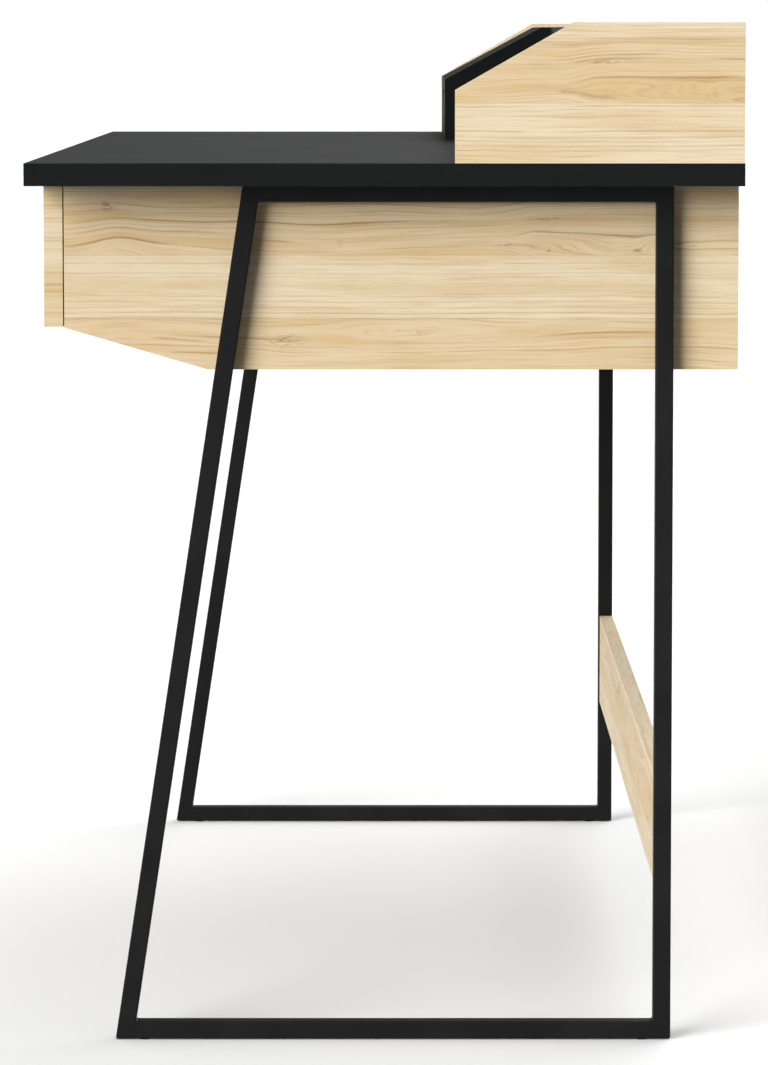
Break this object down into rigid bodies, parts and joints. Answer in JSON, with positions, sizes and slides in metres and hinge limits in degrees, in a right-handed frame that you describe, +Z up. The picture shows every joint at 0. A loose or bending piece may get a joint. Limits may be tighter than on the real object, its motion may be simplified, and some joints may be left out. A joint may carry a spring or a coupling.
{
  "type": "writing desk with hutch",
  "caption": "Writing desk with a level black top, a maple drawer case, closed square-tube leg frames and a low hutch whose end box has a hinged slanted lid.",
  "frame": {"origin": "on the floor under the middle of the desk", "axes": "+X to the desk's right-hand end, -Y to the front where the user sits, +Z up"},
  "size_m": [1.1, 0.6, 0.867],
  "materials": {
    "maple": "satin maple laminate with fine grain",
    "black_laminate": "matte black laminate on board",
    "black_steel": "fine matte powder coat",
    "zinc": "bright zinc plate",
    "brass_insert": "plain turned brass",
    "nylon": "matte moulded nylon"
  },
  "bodies": {
    "desk": {"worktop": "black_laminate", "right_side_panel": "maple", "left_side_panel": "maple", "case_divider": "maple", "case_bottom": "maple", "case_back": "maple", "right_front_leg": "black_steel", "right_rear_leg": "black_steel", "right_top_bar": "black_steel", "right_bottom_bar": "black_steel", "left_front_leg": "black_steel", "left_rear_leg": "black_steel", "left_top_bar": "black_steel", "left_bottom_bar": "black_steel", "rear_rail": "maple", "floor_glides": "nylon", "hutch_right_end": "maple", "hutch_left_end": "maple", "hutch_back": "black_laminate", "hutch_top": "black_laminate", "box_divider": "black_laminate", "box_front": "black_laminate", "lid_pivot_pins": "zinc", "runner_outer_members": "zinc", "runner_screws": "zinc", "frame_bolts": "black_steel", "panel_inserts": "brass_insert", "worktop_screws": "black_steel", "hutch_screws": "zinc", "hutch_back_screws": "black_steel", "divider_screws": "zinc", "corner_brackets": "zinc", "bracket_screws": "zinc", "cam_locks": "zinc", "cam_pins": "zinc"},
    "right_drawer": {"right_drawer_front": "maple", "right_drawer_outer_side": "maple", "right_drawer_inner_side": "maple", "right_drawer_back": "maple", "right_drawer_bottom": "maple", "right_runner_inner_members": "zinc", "right_drawer_cams": "zinc", "right_drawer_cam_pins": "zinc", "right_drawer_screws": "zinc"},
    "right_runner_middles": {"right_runner_middle_members": "zinc"},
    "right_outer_cages": {"right_outer_ball_cages": "zinc"},
    "right_inner_cages": {"right_inner_ball_cages": "zinc"},
    "left_drawer": {"left_drawer_front": "maple", "left_drawer_outer_side": "maple", "left_drawer_inner_side": "maple", "left_drawer_back": "maple", "left_drawer_bottom": "maple", "left_runner_inner_members": "zinc", "left_drawer_cams": "zinc", "left_drawer_cam_pins": "zinc", "left_drawer_screws": "zinc"},
    "left_runner_middles": {"left_runner_middle_members": "zinc"},
    "left_outer_cages": {"left_outer_ball_cages": "zinc"},
    "left_inner_cages": {"left_inner_ball_cages": "zinc"},
    "lid": {"box_lid": "black_laminate"}
  },
  "joints": [
    {"name": "right_drawer_slide", "type": "slide", "parent": "desk", "child": "right_drawer", "axis": [0, -1, 0], "range_m": [0, 0.4]},
    {"name": "right_middle_slide", "type": "slide", "parent": "desk", "child": "right_runner_middles", "axis": [0, -1, 0], "range_m": [0, 0.2]},
    {"name": "right_outer_cage_slide", "type": "slide", "parent": "desk", "child": "right_outer_cages", "axis": [0, -1, 0], "range_m": [0, 0.1]},
    {"name": "right_inner_cage_slide", "type": "slide", "parent": "desk", "child": "right_inner_cages", "axis": [0, -1, 0], "range_m": [0, 0.3]},
    {"name": "left_drawer_slide", "type": "slide", "parent": "desk", "child": "left_drawer", "axis": [0, -1, 0], "range_m": [0, 0.4]},
    {"name": "left_middle_slide", "type": "slide", "parent": "desk", "child": "left_runner_middles", "axis": [0, -1, 0], "range_m": [0, 0.2]},
    {"name": "left_outer_cage_slide", "type": "slide", "parent": "desk", "child": "left_outer_cages", "axis": [0, -1, 0], "range_m": [0, 0.1]},
    {"name": "left_inner_cage_slide", "type": "slide", "parent": "desk", "child": "left_inner_cages", "axis": [0, -1, 0], "range_m": [0, 0.3]},
    {"name": "lid_hinge", "type": "hinge", "parent": "desk", "child": "lid", "pos_m": [-0.3955, 0.15911, 0.8573], "axis": [-1, 0, 0], "range_deg": [0, 125]}
  ],
  "couplings": [
    {"joint": "right_middle_slide", "follows": "right_drawer_slide", "ratio": 0.5},
    {"joint": "right_outer_cage_slide", "follows": "right_drawer_slide", "ratio": 0.25},
    {"joint": "right_inner_cage_slide", "follows": "right_drawer_slide", "ratio": 0.75},
    {"joint": "left_middle_slide", "follows": "left_drawer_slide", "ratio": 0.5},
    {"joint": "left_outer_cage_slide", "follows": "left_drawer_slide", "ratio": 0.25},
    {"joint": "left_inner_cage_slide", "follows": "left_drawer_slide", "ratio": 0.75}
  ]
}
